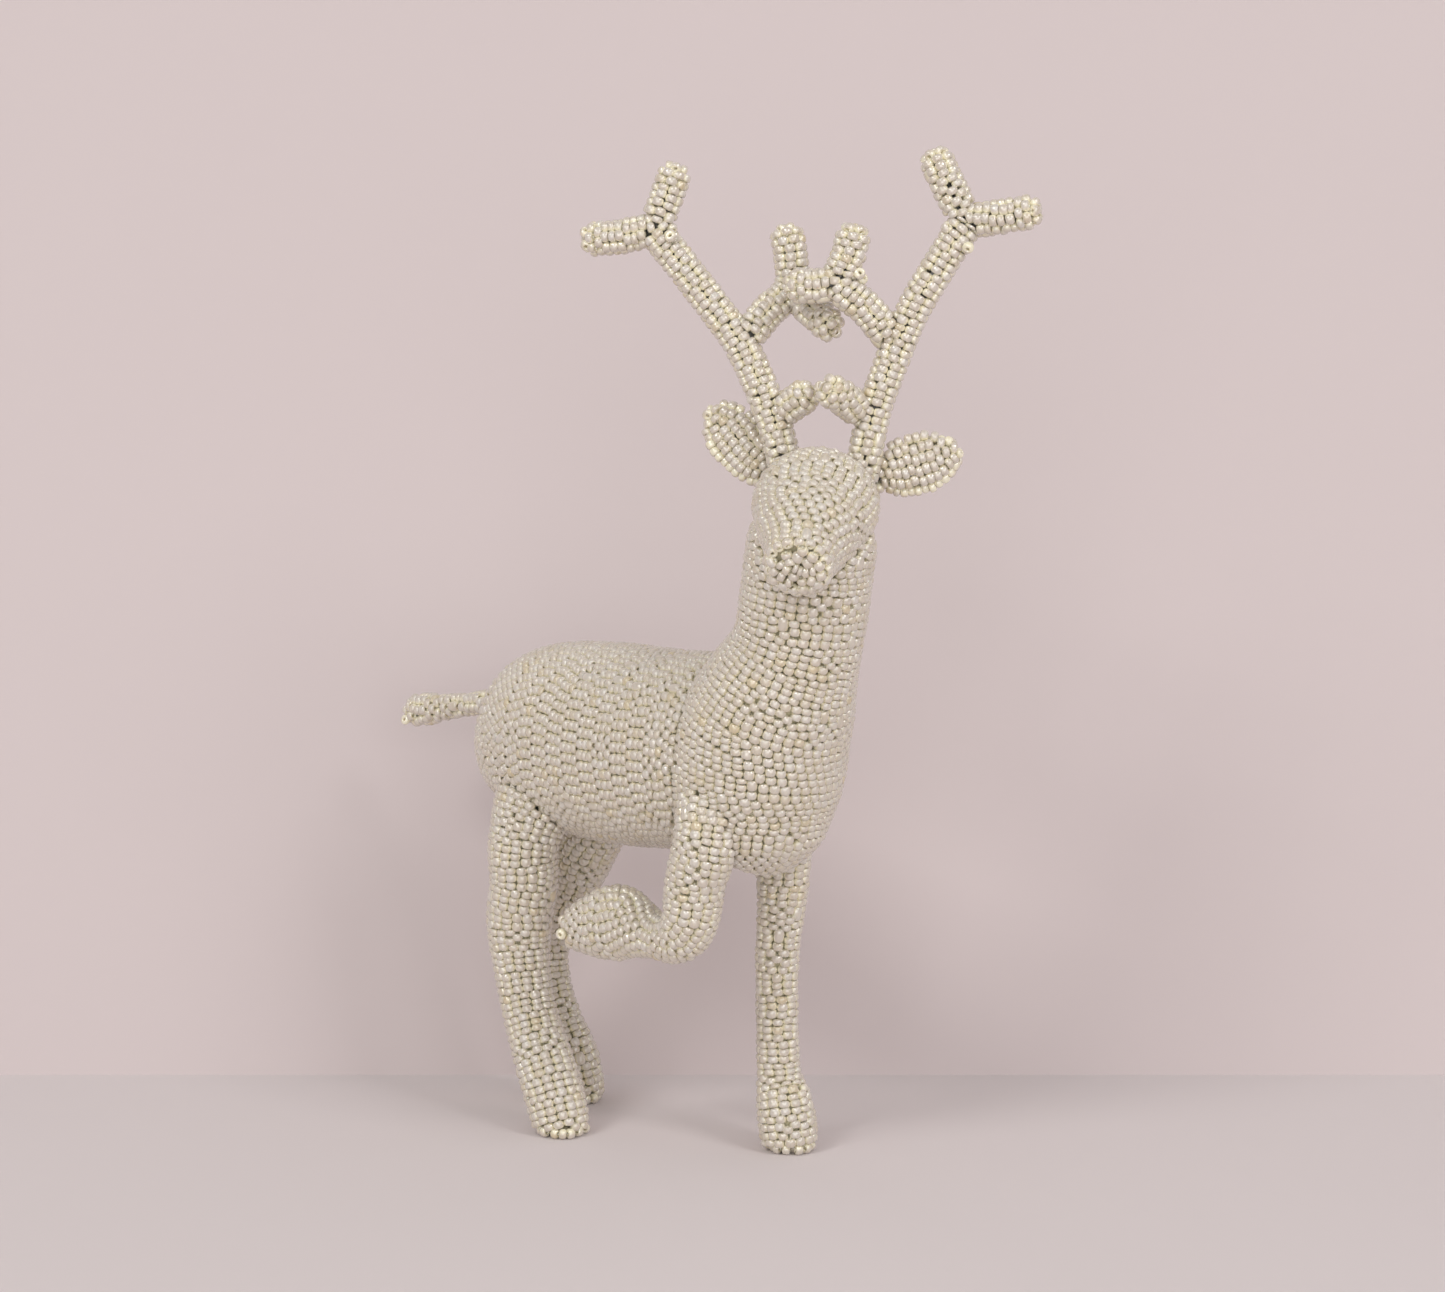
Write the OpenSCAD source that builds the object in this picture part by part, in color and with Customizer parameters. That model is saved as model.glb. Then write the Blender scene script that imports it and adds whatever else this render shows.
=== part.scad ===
// A standing stag covered in strung seed beads, with one foreleg raised.
// Millimetres, +Z up, hooves on z = 0, nose towards -Y, the animal's right side towards -X.
// Bead coverings are modelled here as sleeves one bead thick.

/* [Beads] */

// Thickness of the bead covering, one bead across
bead_cover = 2.1; // [1.8:0.1:2.2]

/* [Wires] */

// Diameter of the bundle of wires inside each antler
antler_wire_d = 2.2; // [1.6:0.1:2.6]

// Diameter of the wires inside the legs and the body
leg_wire_d = 1.6; // [1.2:0.1:2.2]

// Diameter of the wire inside the tail and the ears
thin_wire_d = 0.9; // [0.7:0.1:1.2]

/* [Antlers] */

// Diameter of the beaded antlers
antler_d = 6.8; // [6.5:0.1:6.9]

/* [Hidden] */

// Facets around a limb, a wire and the body
limb_sides = 14;
antler_sides = 12;
wire_sides = 8;
body_sides = 24;

// Curve steps between two neighbouring rows of a table
limb_steps = 2;
body_steps = 2;

antler_r = antler_d / 2;
antler_wire_r = antler_wire_d / 2;
leg_wire_r = leg_wire_d / 2;
thin_wire_r = thin_wire_d / 2;

up_z = [0, 0, 1];
up_y = [0, 1, 0];
up_x = [1, 0, 0];
antler_up = [0.7, 0.7, 0];

// Rows are [x, y, z, half-width, half-height] of a cross-section.
torso_rows = [
    [0, 49, 74.3, 2, 2],
    [0, 47, 74.4, 8.5, 9],
    [0, 41, 74.5, 14.5, 15],
    [0, 30, 76, 17.5, 18.7],
    [0, 14, 76, 18.5, 20],
    [0, -4, 76.5, 18, 19.5],
    [0, -17, 77, 16.5, 19.5],
    [0, -27, 77.5, 12.5, 16],
    [0, -31, 77.5, 8, 10],
];

chest_rows = [
    [0, -22, 57, 3, 4],
    [0, -22.5, 58.5, 9.5, 10.5],
    [0, -23, 63, 14, 14.8],
    [0, -23.8, 72, 16.8, 17],
    [0, -26.7, 82, 16.8, 16.8],
    [0, -31, 90.5, 15.2, 14.8],
    [0, -35.2, 99, 12.6, 12.4],
    [0, -37.2, 107, 12.5, 12.2],
    [0, -38.5, 115, 12.4, 12.2],
    [0, -39.7, 120.5, 12, 12],
    [1.2, -39.5, 125, 9.5, 9.5],
];

// The chest covering ends and the neck covering starts at this table row.
neck_start_row = 6;

head_rows = [
    [6.1, -36.5, 130.5, 3, 3],
    [5.2, -37.1, 129.9, 7, 7],
    [2.2, -39.1, 128.1, 11, 10],
    [-1.5, -41.5, 125.5, 12, 10.5],
    [-7.3, -45.3, 121.3, 9.5, 9.5],
    [-11.6, -48.1, 118.1, 7, 7.5],
    [-15.2, -50.5, 115.5, 6, 6],
    [-16, -51, 115, 2.5, 2.5],
];
muzzle_start_row = 5;

left_fore_rows = [
    [9, -21.5, 69, 7, 8],
    [11.8, -20, 52, 5.2, 5.4],
    [11.5, -18.8, 35.5, 4.4, 4.4],
    [11.5, -19.2, 15, 4.4, 4.4],
    [11, -21.3, 8, 5.6, 5.6],
    [11, -22.7, 1, 5.7, 5.7],
    [11, -23.2, -3, 4, 4],
];

right_fore_rows = [
    [-9.5, -23, 73, 7, 7.4],
    [-13.5, -25, 63, 6.4, 6.4],
    [-14, -22.6, 55, 5.9, 6],
    [-14, -21, 47, 5.5, 5.6],
    [-14, -17.5, 43.2, 5, 5.2],
    [-14, -11, 42.8, 4.6, 4.8],
    [-14, -2.5, 43.9, 7.4, 6.2],
    [-14, 4, 42.8, 6.8, 6.4],
    [-14, 10.5, 41.2, 4.6, 5.6],
];

right_hind_rows = [
    [-7.5, 28.5, 69, 8, 10],
    [-12, 29.2, 56, 7.2, 7.3],
    [-12, 29.3, 48, 6.9, 7],
    [-12, 30.8, 39, 6.6, 6.7],
    [-12, 29.8, 29, 5.7, 5.8],
    [-12, 26.9, 19.4, 5.6, 5.7],
    [-12.3, 21.5, 9, 6.1, 6.1],
    [-12.4, 18, 1, 5.8, 5.8],
    [-12.5, 16.4, -3.2, 4, 4],
];

left_hind_rows = [
    [7, 30, 68, 8, 10],
    [8.5, 32, 56, 7, 7.5],
    [8, 38, 45, 6.4, 6.8],
    [7.2, 44.3, 34, 6, 6],
    [6.9, 44.8, 26, 5, 5.2],
    [7, 41.7, 16, 5.1, 5.3],
    [7.9, 38.3, 8, 5.9, 5.9],
    [8.5, 36.4, 1, 5.7, 5.7],
    [8.7, 35.7, -3, 4, 4],
];

tail_rows = [
    [0, 42, 83, 2.5, 2.5],
    [0, 52, 81, 2.5, 2.5],
    [0, 66, 78.4, 2.8, 2.8],
    [0, 75.6, 76.8, 3.6, 3.6],
    [0, 78.95, 76.4, 2.6, 2.6],
];

right_ear_rows = [
    [5.5, -31.5, 126, 2.6, 2],
    [2.2, -27.8, 130, 3, 2.2],
    [0.6, -24.4, 133.5, 5.2, 2.6],
    [-1, -20.4, 137.7, 5.7, 2.6],
    [-2.4, -16.8, 141.6, 4.2, 2.4],
    [-3.1, -15, 143.2, 1.8, 1.6],
];

left_ear_rows = [
    [10, -41.3, 128.3, 2.6, 2],
    [12.6, -43.8, 130.5, 3, 2.2],
    [14.6, -45.9, 131.8, 5, 2.6],
    [18, -49.9, 133.6, 5.9, 2.6],
    [21.2, -53.4, 135, 4.6, 2.4],
    [22.9, -55.4, 135.8, 2, 1.6],
];

// Antler centre lines are plain points: their tubes are round and of one size.
right_beam_path = [
    [2, -34, 126.5], [1, -31.5, 132], [0.5, -28.5, 141.5],
    [-1.5, -22.5, 154.5], [-4.8, -16.2, 164], [-9.5, -7, 176.5],
];
right_crown_outer_path = [[-9.5, -7, 176.5], [-13.5, -1, 175.5], [-17.5, 5, 175]];
right_crown_upper_path = [[-9.5, -7, 176.5], [-7.5, -8.2, 183.5], [-5.8, -9.3, 189.3]];
right_inner_branch_path = [
    [-1.5, -22.5, 156], [3.5, -24, 161.5], [8.5, -25, 166], [9, -24.5, 172], [9, -23, 178],
];
right_inner_tine_path = [[8.5, -25, 166], [8.3, -31.5, 161.5], [7.5, -38, 158]];
right_brow_tine_path = [[1, -29, 142.5], [2.2, -33, 145], [3.2, -36.6, 147.4]];

left_beam_path = [
    [7.5, -42, 126.5], [9, -43.5, 132.5], [11, -44.5, 143],
    [14, -46.5, 153], [17, -49.5, 163], [23.5, -56, 178],
];
left_crown_outer_path = [[23.5, -56, 178], [27, -61.5, 179.2], [31.2, -67.9, 180.4]];
left_crown_upper_path = [[23.5, -56, 178], [22, -53.1, 184.5], [21, -49.6, 191.7]];
left_inner_branch_path = [
    [14, -46.5, 156.5], [9.5, -43.5, 162.5], [6, -40.5, 167], [7.5, -41.5, 173], [8.5, -42, 178],
];
left_inner_tine_path = [[6, -40.5, 167], [3, -36.5, 166.5], [0, -32, 166.5]];
left_brow_tine_path = [[10, -43, 142.5], [5, -42.7, 145.6], [-0.6, -42, 148.4]];

// The wires: one through tail, back and neck, and one bent over the body for each pair of legs.
spine_wire_path = [
    [0, 38.5, 82.4], [0, 34, 82], [0, 16, 83], [0, -8, 85], [0, -24, 92],
    [0, -33, 103], [0, -37.5, 113], [0, -39.5, 124],
];
fore_wire_path = [
    [11, -22, 5], [11.3, -20.9, 9], [11.5, -19.2, 15], [11.5, -18.8, 35.5], [11.8, -20, 52],
    [10, -21.5, 66], [0, -22.5, 72], [-11, -24, 68], [-13.5, -25, 62], [-14, -22.6, 55],
    [-14, -21, 47], [-14, -17.5, 43.2], [-14, -11, 42.8], [-14, -3, 43.8], [-14, 2, 43.2],
];
hind_wire_path = [
    [-12.4, 19.7, 5], [-12.3, 21.5, 9], [-12, 26.9, 19.4], [-12, 29.8, 29], [-12, 30.8, 39],
    [-12, 29.3, 48], [-12, 29.2, 56], [-9, 28.5, 67], [0, 29, 72], [8, 30, 66],
    [8.5, 32, 56], [8, 38, 45], [7.2, 44.3, 34], [6.9, 44.8, 26], [7, 41.7, 16],
    [7.9, 38.3, 8], [8.1, 37.5, 5],
];

// Moves the figure so that the middle of its outline stands over the origin, on the floor.
to_origin = [-5.9, -5.1, 1.5];
floor_level = -to_origin[2];

bead_colour = [0.90, 0.87, 0.78];
form_colour = [0.62, 0.57, 0.48];
wire_colour = [0.45, 0.46, 0.48];

// ---- curves and cross-sections ----

function unit(v) = v / norm(v);
function place(row) = [row[0], row[1], row[2]];
function row_near(rows, i) = rows[min(max(i, 0), len(rows) - 1)];

function curve_point(a, b, c, d, t) =
    0.5 * (2 * b + (c - a) * t + (2 * a - 5 * b + 4 * c - d) * t * t + (3 * b - a - 3 * c + d) * t * t * t);

function smooth(rows, steps) = concat(
    [for (i = [0:len(rows) - 2]) for (k = [0:steps - 1])
        curve_point(row_near(rows, i - 1), rows[i], rows[i + 1], row_near(rows, i + 2), k / steps)],
    [rows[len(rows) - 1]]
);

function round_rows(path, r) = [for (p = path) concat(p, [r, r])];

function heading(rows, i) = unit(place(row_near(rows, i + 1)) - place(row_near(rows, i - 1)));

function ring(rows, i, up, sides, inset) =
    let (
        along = heading(rows, i),
        side = unit(cross(along, up)),
        rise = cross(side, along)
    )
    [for (k = [0:sides - 1])
        place(rows[i])
            + (rows[i][3] - inset) * cos(360 * k / sides) * side
            + (rows[i][4] - inset) * sin(360 * k / sides) * rise];

function rings(rows, up, sides, inset, first, last) =
    [for (i = [first:last]) ring(rows, i, up, sides, inset)];

function flat(lists) = [for (l = lists) for (p = l) p];

// Triangles of the wall between neighbouring rings; start is the first point's number.
function wall(count, sides, start, inward) =
    [for (i = [0:count - 2]) for (k = [0:sides - 1]) for (half = [0, 1])
        let (
            a = start + i * sides + k,
            b = start + i * sides + (k + 1) % sides,
            c = a + sides,
            d = b + sides,
            tri = half == 0 ? [a, b, d] : [a, d, c]
        )
        inward ? [tri[2], tri[1], tri[0]] : tri];

function cap(start, sides, flip) =
    [[for (k = [0:sides - 1]) start + (flip ? sides - 1 - k : k)]];

function rim(outer_start, inner_start, sides, flip) =
    [for (k = [0:sides - 1]) for (half = [0, 1])
        let (
            a = outer_start + k,
            b = outer_start + (k + 1) % sides,
            c = inner_start + k,
            d = inner_start + (k + 1) % sides,
            tri = half == 0 ? [a, c, d] : [a, d, b]
        )
        flip ? [tri[2], tri[1], tri[0]] : tri];

// ---- solids made from rings ----

module filled(section_rings) {
    sides = len(section_rings[0]);
    count = len(section_rings);
    polyhedron(
        points = flat(section_rings),
        faces = concat(
            wall(count, sides, 0, false),
            cap(0, sides, true),
            cap((count - 1) * sides, sides, false)
        ),
        convexity = 6
    );
}

module hollow(outer, inner, open_start, open_end) {
    sides = len(outer[0]);
    inner_start = len(outer) * sides;
    outer_last = (len(outer) - 1) * sides;
    inner_last = inner_start + (len(inner) - 1) * sides;
    start_faces = open_start
        ? rim(0, inner_start, sides, false)
        : concat(cap(0, sides, true), cap(inner_start, sides, false));
    end_faces = open_end
        ? rim(outer_last, inner_last, sides, true)
        : concat(cap(outer_last, sides, false), cap(inner_last, sides, true));
    polyhedron(
        points = concat(flat(outer), flat(inner)),
        faces = concat(
            wall(len(outer), sides, 0, false),
            wall(len(inner), sides, inner_start, true),
            start_faces,
            end_faces
        ),
        convexity = 8
    );
}

torso_curve = smooth(torso_rows, body_steps);
chest_curve = smooth(chest_rows, body_steps);
head_curve = smooth(head_rows, body_steps);

// Closed ends of the padding stop this many curve rows inside the covering.
end_rows = 2;

// Bores are a little wider than their wires.
bore_gap = 0.05;
antler_bore_r = antler_wire_r + bore_gap;
thin_bore_r = thin_wire_r + bore_gap;

// Closed tips of the antler bores stop this many curve rows inside the sleeve.
tip_rows = 1;

// Hooves are closed over this many curve rows.
sole_rows = 2;

torso_last = len(torso_curve) - 1;
chest_last = len(chest_curve) - 1;
head_last = len(head_curve) - 1;
neck_start = neck_start_row * body_steps;
muzzle_start = muzzle_start_row * body_steps;

module bead_finish() {
    color(bead_colour) translate(to_origin) children();
}

module padding_finish() {
    color(form_colour) translate(to_origin) children();
}

module wire_finish() {
    color(wire_colour) translate(to_origin) children();
}

// ---- whole outlines, used to trim what meets them ----

module torso_outline() {
    filled(rings(torso_curve, up_z, body_sides, 0, 0, torso_last));
}

module chest_outline() {
    filled(rings(chest_curve, up_y, body_sides, 0, 0, chest_last));
}

module head_outline() {
    filled(rings(head_curve, up_z, body_sides, 0, 0, head_last));
}

module torso_padding_outline() {
    filled(rings(torso_curve, up_z, body_sides, bead_cover, end_rows, torso_last));
}

module chest_padding_outline() {
    filled(rings(chest_curve, up_y, body_sides, bead_cover, end_rows, chest_last));
}

module wire(path, r) {
    curve = smooth(round_rows(path, r), limb_steps);
    filled(rings(curve, wire_up(path), wire_sides, 0, 0, len(curve) - 1));
}

// A direction that no part of the path runs along.
function wire_up(path) =
    let (overall = path[len(path) - 1] - path[0])
    abs(overall[1]) > max(abs(overall[0]), abs(overall[2])) ? [0.1, 0.05, 1] : [0.3, 1, 0.15];

// ---- body ----

module torso_beads() {
    bead_finish()
    difference() {
        hollow(
            rings(torso_curve, up_z, body_sides, 0, 0, torso_last),
            rings(torso_curve, up_z, body_sides, bead_cover, end_rows, torso_last),
            false, true
        );
        chest_outline();
        hindleg_wire_shape();
        tail_wire_shape();
    }
}

module chest_beads() {
    bead_finish()
    difference() {
        hollow(
            rings(chest_curve, up_y, body_sides, 0, 0, neck_start),
            rings(chest_curve, up_y, body_sides, bead_cover, end_rows, neck_start),
            false, true
        );
        torso_padding_outline();
        foreleg_wire_shape();
    }
}

module neck_beads() {
    bead_finish()
    hollow(
        rings(chest_curve, up_y, body_sides, 0, neck_start, chest_last),
        rings(chest_curve, up_y, body_sides, bead_cover, neck_start, chest_last),
        true, true
    );
}

module body_padding() {
    padding_finish()
    difference() {
        union() {
            torso_padding_outline();
            chest_padding_outline();
        }
        spine_wire_shape();
        foreleg_wire_shape();
        hindleg_wire_shape();
        tail_wire_shape();
    }
}

// ---- head ----

module head_beads() {
    bead_finish()
    difference() {
        hollow(
            rings(head_curve, up_z, body_sides, 0, 0, muzzle_start),
            rings(head_curve, up_z, body_sides, bead_cover, end_rows, muzzle_start),
            false, true
        );
        chest_outline();
        right_antler_wires_shape();
        left_antler_wires_shape();
        right_ear_wire_shape();
        left_ear_wire_shape();
    }
}

module muzzle_beads() {
    bead_finish()
    hollow(
        rings(head_curve, up_z, body_sides, 0, muzzle_start, head_last),
        rings(head_curve, up_z, body_sides, bead_cover, muzzle_start, head_last - end_rows - 1),
        true, false
    );
}

module head_padding() {
    padding_finish()
    difference() {
        filled(rings(head_curve, up_z, body_sides, bead_cover, end_rows, head_last - end_rows - 1));
        chest_outline();
        spine_wire_shape();
        right_antler_wires_shape();
        left_antler_wires_shape();
        right_ear_wire_shape();
        left_ear_wire_shape();
    }
}

// ---- ears ----

function same_line(curve, r) = [for (row = curve) concat(place(row), [r, r])];

module ear_shape(rows) {
    curve = smooth(rows, limb_steps);
    last = len(curve) - 1;
    bore = same_line(curve, thin_bore_r);
    hollow(
        rings(curve, antler_up, antler_sides, 0, 0, last),
        rings(bore, antler_up, antler_sides, 0, 0, last - end_rows),
        true, false
    );
}

module ear_wire_shape(rows) {
    thread = same_line(smooth(rows, limb_steps), thin_wire_r);
    filled(rings(thread, antler_up, wire_sides, 0, 0, len(thread) - 1 - end_rows));
}

module right_ear_wire_shape() {
    ear_wire_shape(right_ear_rows);
}

module left_ear_wire_shape() {
    ear_wire_shape(left_ear_rows);
}

module right_ear_beads() {
    bead_finish()
    difference() {
        ear_shape(right_ear_rows);
        head_outline();
        chest_outline();
        antler_tube(right_beam_path);
    }
}

module left_ear_beads() {
    bead_finish()
    difference() {
        ear_shape(left_ear_rows);
        head_outline();
        chest_outline();
        antler_tube(left_beam_path);
    }
}

module right_ear_wire() {
    wire_finish() right_ear_wire_shape();
}

module left_ear_wire() {
    wire_finish() left_ear_wire_shape();
}

// ---- tail ----

module tail_wire_shape() {
    thread = same_line(smooth(tail_rows, limb_steps), thin_wire_r);
    filled(rings(thread, up_z, wire_sides, 0, 0, len(thread) - 1));
}

module tail_beads() {
    curve = smooth(tail_rows, limb_steps);
    last = len(curve) - 1;
    bore = same_line(curve, thin_bore_r);
    bead_finish()
    difference() {
        hollow(
            rings(curve, up_z, antler_sides, 0, 0, last),
            rings(bore, up_z, antler_sides, 0, 0, last),
            true, true
        );
        torso_outline();
    }
}

module tail_wire() {
    wire_finish() tail_wire_shape();
}

// ---- antlers ----

module antler_tube(path) {
    curve = smooth(round_rows(path, antler_r), limb_steps);
    filled(rings(curve, antler_up, antler_sides, 0, 0, len(curve) - 1));
}

module antler_sleeve(path, open_tip) {
    outer = smooth(round_rows(path, antler_r), limb_steps);
    bore = smooth(round_rows(path, antler_bore_r), limb_steps);
    last = len(outer) - 1;
    hollow(
        rings(outer, antler_up, antler_sides, 0, 0, last),
        rings(bore, antler_up, antler_sides, 0, 0, open_tip ? last : last - tip_rows),
        true, open_tip
    );
}

module antler_wire(path, open_tip) {
    curve = smooth(round_rows(path, antler_wire_r), limb_steps);
    last = len(curve) - 1;
    filled(rings(curve, antler_up, wire_sides, 0, 0, open_tip ? last : last - tip_rows));
}

module right_antler_wires_shape() {
    union() {
        antler_wire(right_beam_path, true);
        antler_wire(right_crown_outer_path, false);
        antler_wire(right_crown_upper_path, false);
        antler_wire(right_inner_branch_path, false);
        antler_wire(right_inner_tine_path, false);
        antler_wire(right_brow_tine_path, false);
    }
}

module left_antler_wires_shape() {
    union() {
        antler_wire(left_beam_path, true);
        antler_wire(left_crown_outer_path, false);
        antler_wire(left_crown_upper_path, false);
        antler_wire(left_inner_branch_path, false);
        antler_wire(left_inner_tine_path, false);
        antler_wire(left_brow_tine_path, false);
    }
}

module beam_beads(beam, inner_branch, brow_tine, crown_outer, crown_upper) {
    bead_finish()
    difference() {
        antler_sleeve(beam, true);
        head_outline();
        antler_wire(inner_branch, false);
        antler_wire(brow_tine, false);
        antler_wire(crown_outer, false);
        antler_wire(crown_upper, false);
    }
}

module right_antler_beam_beads() {
    beam_beads(
        right_beam_path, right_inner_branch_path, right_brow_tine_path,
        right_crown_outer_path, right_crown_upper_path
    );
}

module left_antler_beam_beads() {
    beam_beads(
        left_beam_path, left_inner_branch_path, left_brow_tine_path,
        left_crown_outer_path, left_crown_upper_path
    );
}

// A tine of its own, trimmed where it meets the tube it grows from.
module tine_beads(path, parent) {
    bead_finish()
    difference() {
        antler_sleeve(path, false);
        antler_tube(parent);
    }
}

module crown_outer_beads(path, beam, upper) {
    bead_finish()
    difference() {
        antler_sleeve(path, false);
        antler_tube(beam);
        antler_wire(upper, false);
    }
}

module crown_upper_beads(path, beam, outer) {
    bead_finish()
    difference() {
        antler_sleeve(path, false);
        antler_tube(beam);
        antler_tube(outer);
    }
}

module inner_branch_beads(path, beam, tine) {
    bead_finish()
    difference() {
        antler_sleeve(path, false);
        antler_tube(beam);
        antler_wire(tine, false);
    }
}

module right_antler_crown_outer_beads() {
    crown_outer_beads(right_crown_outer_path, right_beam_path, right_crown_upper_path);
}

module right_antler_crown_upper_beads() {
    crown_upper_beads(right_crown_upper_path, right_beam_path, right_crown_outer_path);
}

module right_antler_inner_branch_beads() {
    inner_branch_beads(right_inner_branch_path, right_beam_path, right_inner_tine_path);
}

module right_antler_inner_tine_beads() {
    tine_beads(right_inner_tine_path, right_inner_branch_path);
}

module right_antler_brow_tine_beads() {
    tine_beads(right_brow_tine_path, right_beam_path);
}

module left_antler_crown_outer_beads() {
    crown_outer_beads(left_crown_outer_path, left_beam_path, left_crown_upper_path);
}

module left_antler_crown_upper_beads() {
    crown_upper_beads(left_crown_upper_path, left_beam_path, left_crown_outer_path);
}

module left_antler_inner_branch_beads() {
    inner_branch_beads(left_inner_branch_path, left_beam_path, left_inner_tine_path);
}

module left_antler_inner_tine_beads() {
    tine_beads(left_inner_tine_path, left_inner_branch_path);
}

module left_antler_brow_tine_beads() {
    tine_beads(left_brow_tine_path, left_beam_path);
}

module right_antler_wires() {
    wire_finish() right_antler_wires_shape();
}

module left_antler_wires() {
    wire_finish() left_antler_wires_shape();
}

// ---- legs ----

// Curve rows where one sleeve of a leg ends and the next begins.
fore_shin_first = 4;
fore_hoof_first = 7;
raised_shin_first = 7;
raised_hoof_first = 11;
hind_shin_first = 6;
hind_hoof_first = 11;

module leg_sleeve(rows, up, first, last) {
    curve = smooth(rows, limb_steps);
    hollow(
        rings(curve, up, limb_sides, 0, first, last),
        rings(curve, up, limb_sides, bead_cover, first, last),
        true, true
    );
}

module upper_leg(rows, up, last) {
    bead_finish()
    difference() {
        leg_sleeve(rows, up, 0, last);
        torso_outline();
        chest_outline();
    }
}

module shin(rows, up, first, last) {
    bead_finish() leg_sleeve(rows, up, first, last);
}

// Everything above the floor.
module above_floor() {
    translate([-60, -60, floor_level]) cube([120, 120, 120]);
}

module hoof(rows, up, first) {
    curve = smooth(rows, limb_steps);
    last = len(curve) - 1;
    bead_finish()
    intersection() {
        hollow(
            rings(curve, up, limb_sides, 0, first, last),
            rings(curve, up, limb_sides, bead_cover, first, last - sole_rows),
            true, false
        );
        above_floor();
    }
}

module leg_wrap(rows, up) {
    curve = smooth(rows, limb_steps);
    padding_finish()
    difference() {
        filled(rings(curve, up, limb_sides, bead_cover, 0, len(curve) - 1 - sole_rows));
        torso_outline();
        chest_outline();
        foreleg_wire_shape();
        hindleg_wire_shape();
    }
}

module left_foreleg_upper_beads() {
    upper_leg(left_fore_rows, up_y, fore_shin_first);
}

module left_foreleg_shin_beads() {
    shin(left_fore_rows, up_y, fore_shin_first, fore_hoof_first);
}

module left_fore_hoof_beads() {
    hoof(left_fore_rows, up_y, fore_hoof_first);
}

module left_foreleg_wrap() {
    leg_wrap(left_fore_rows, up_y);
}

module right_foreleg_upper_beads() {
    upper_leg(right_fore_rows, up_x, raised_shin_first);
}

module right_foreleg_shin_beads() {
    shin(right_fore_rows, up_x, raised_shin_first, raised_hoof_first);
}

module right_fore_hoof_beads() {
    hoof(right_fore_rows, up_x, raised_hoof_first);
}

module right_foreleg_wrap() {
    leg_wrap(right_fore_rows, up_x);
}

module right_hindleg_thigh_beads() {
    upper_leg(right_hind_rows, up_y, hind_shin_first);
}

module right_hindleg_shin_beads() {
    shin(right_hind_rows, up_y, hind_shin_first, hind_hoof_first);
}

module right_hind_hoof_beads() {
    hoof(right_hind_rows, up_y, hind_hoof_first);
}

module right_hindleg_wrap() {
    leg_wrap(right_hind_rows, up_y);
}

module left_hindleg_thigh_beads() {
    upper_leg(left_hind_rows, up_y, hind_shin_first);
}

module left_hindleg_shin_beads() {
    shin(left_hind_rows, up_y, hind_shin_first, hind_hoof_first);
}

module left_hind_hoof_beads() {
    hoof(left_hind_rows, up_y, hind_hoof_first);
}

module left_hindleg_wrap() {
    leg_wrap(left_hind_rows, up_y);
}

// ---- wires ----

module spine_wire_shape() {
    wire(spine_wire_path, leg_wire_r);
}

module foreleg_wire_shape() {
    wire(fore_wire_path, leg_wire_r);
}

module hindleg_wire_shape() {
    wire(hind_wire_path, leg_wire_r);
}

module spine_wire() {
    wire_finish() spine_wire_shape();
}

module foreleg_wire() {
    wire_finish() foreleg_wire_shape();
}

module hindleg_wire() {
    wire_finish() hindleg_wire_shape();
}

torso_beads();
chest_beads();
neck_beads();
head_beads();
muzzle_beads();
right_ear_beads();
left_ear_beads();
tail_beads();
right_antler_beam_beads();
right_antler_crown_outer_beads();
right_antler_crown_upper_beads();
right_antler_inner_branch_beads();
right_antler_inner_tine_beads();
right_antler_brow_tine_beads();
left_antler_beam_beads();
left_antler_crown_outer_beads();
left_antler_crown_upper_beads();
left_antler_inner_branch_beads();
left_antler_inner_tine_beads();
left_antler_brow_tine_beads();
left_foreleg_upper_beads();
left_foreleg_shin_beads();
left_fore_hoof_beads();
right_foreleg_upper_beads();
right_foreleg_shin_beads();
right_fore_hoof_beads();
right_hindleg_thigh_beads();
right_hindleg_shin_beads();
right_hind_hoof_beads();
left_hindleg_thigh_beads();
left_hindleg_shin_beads();
left_hind_hoof_beads();
body_padding();
head_padding();
left_foreleg_wrap();
right_foreleg_wrap();
right_hindleg_wrap();
left_hindleg_wrap();
spine_wire();
foreleg_wire();
hindleg_wire();
tail_wire();
right_antler_wires();
left_antler_wires();
right_ear_wire();
left_ear_wire();
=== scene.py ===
"""A standing stag sewn all over with pearl-white glass seed beads, one foreleg raised.

The CAD frame holds the figure's padding, wires and bead sleeves.  Here each sleeve is
replaced by its own strung beads, laid in short lanes that step round the skin.
"""

import math

import bpy
import numpy as np
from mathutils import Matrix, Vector
from mathutils.kdtree import KDTree


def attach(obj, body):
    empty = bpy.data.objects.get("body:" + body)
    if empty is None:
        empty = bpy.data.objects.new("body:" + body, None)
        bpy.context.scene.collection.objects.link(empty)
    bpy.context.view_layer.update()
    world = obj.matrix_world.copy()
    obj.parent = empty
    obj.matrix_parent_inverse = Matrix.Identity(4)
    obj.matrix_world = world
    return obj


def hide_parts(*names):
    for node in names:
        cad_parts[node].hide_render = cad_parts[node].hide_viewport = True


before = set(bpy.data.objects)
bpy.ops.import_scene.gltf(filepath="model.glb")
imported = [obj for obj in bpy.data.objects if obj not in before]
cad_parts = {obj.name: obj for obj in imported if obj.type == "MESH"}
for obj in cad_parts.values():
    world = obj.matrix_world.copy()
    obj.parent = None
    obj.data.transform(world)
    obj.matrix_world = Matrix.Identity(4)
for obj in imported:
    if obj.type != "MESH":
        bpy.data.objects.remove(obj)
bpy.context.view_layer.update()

# ---- sizes, in millimetres unless a name says otherwise ----

METRES = 0.001
TO_ORIGIN = np.array([-5.9, -5.1, 1.5])
FLOOR_LEVEL = -TO_ORIGIN[2]

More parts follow.
